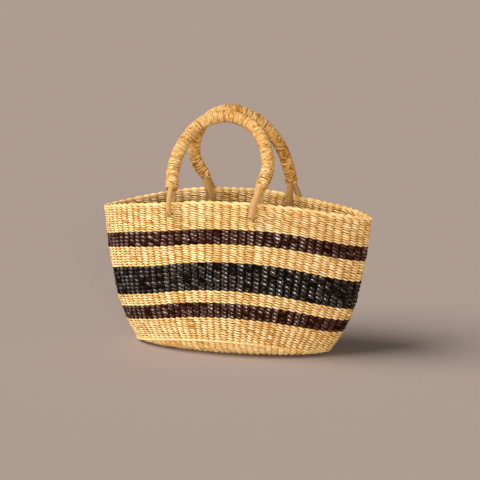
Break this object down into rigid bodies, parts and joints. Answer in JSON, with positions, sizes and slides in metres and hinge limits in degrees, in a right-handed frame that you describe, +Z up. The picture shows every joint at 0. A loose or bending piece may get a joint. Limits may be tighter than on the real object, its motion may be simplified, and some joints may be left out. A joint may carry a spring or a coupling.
{
  "type": "woven straw market basket",
  "caption": "Oval twined straw tote with dark bands, a saddle-shaped rim and two wrapped arch handles that tilt apart.",
  "frame": {"origin": "centre of the flat underside, on the surface the basket stands on", "axes": "+X along the basket's length, -Y towards its front, +Z up"},
  "size_m": [0.433, 0.1984, 0.3717],
  "materials": {
    "natural_straw": "dry twisted grass, faint sheen",
    "bright_straw": "pale twisted grass cord",
    "handle_straw": "tightly wrapped grass, faint sheen",
    "inner_straw": "raw grass stems",
    "brown_straw": "dyed dark brown grass, slight gloss",
    "black_straw": "dyed black grass, slight gloss"
  },
  "bodies": {
    "basket": {"base_mat": "natural_straw", "base_turn": "natural_straw", "base_ridge_cord": "bright_straw", "weft_natural_bottom": "natural_straw", "weft_brown_lower": "brown_straw", "weft_natural_lower": "natural_straw", "weft_black": "black_straw", "weft_natural_upper": "natural_straw", "weft_brown_upper": "brown_straw", "weft_natural_top": "natural_straw", "rim_border": "natural_straw", "side_stakes": "inner_straw", "front_handle_left_outer_leg": "handle_straw", "front_handle_left_inner_leg": "handle_straw", "front_handle_right_outer_leg": "handle_straw", "front_handle_right_inner_leg": "handle_straw", "front_handle_stitches": "handle_straw", "rear_handle_left_outer_leg": "handle_straw", "rear_handle_left_inner_leg": "handle_straw", "rear_handle_right_outer_leg": "handle_straw", "rear_handle_right_inner_leg": "handle_straw", "rear_handle_stitches": "handle_straw"},
    "front_handle": {"front_handle_core": "inner_straw", "front_handle_wrap": "handle_straw", "front_handle_left_binding": "handle_straw", "front_handle_right_binding": "handle_straw"},
    "rear_handle": {"rear_handle_core": "inner_straw", "rear_handle_wrap": "handle_straw", "rear_handle_left_binding": "handle_straw", "rear_handle_right_binding": "handle_straw"}
  },
  "joints": [
    {"name": "front_handle_tilt", "type": "hinge", "parent": "basket", "child": "front_handle", "pos_m": [0, -0.081, 0.25], "axis": [1, 0, 0], "range_deg": [0, 75]},
    {"name": "rear_handle_tilt", "type": "hinge", "parent": "basket", "child": "rear_handle", "pos_m": [0, 0.081, 0.25], "axis": [-1, 0, 0], "range_deg": [0, 75]}
  ]
}
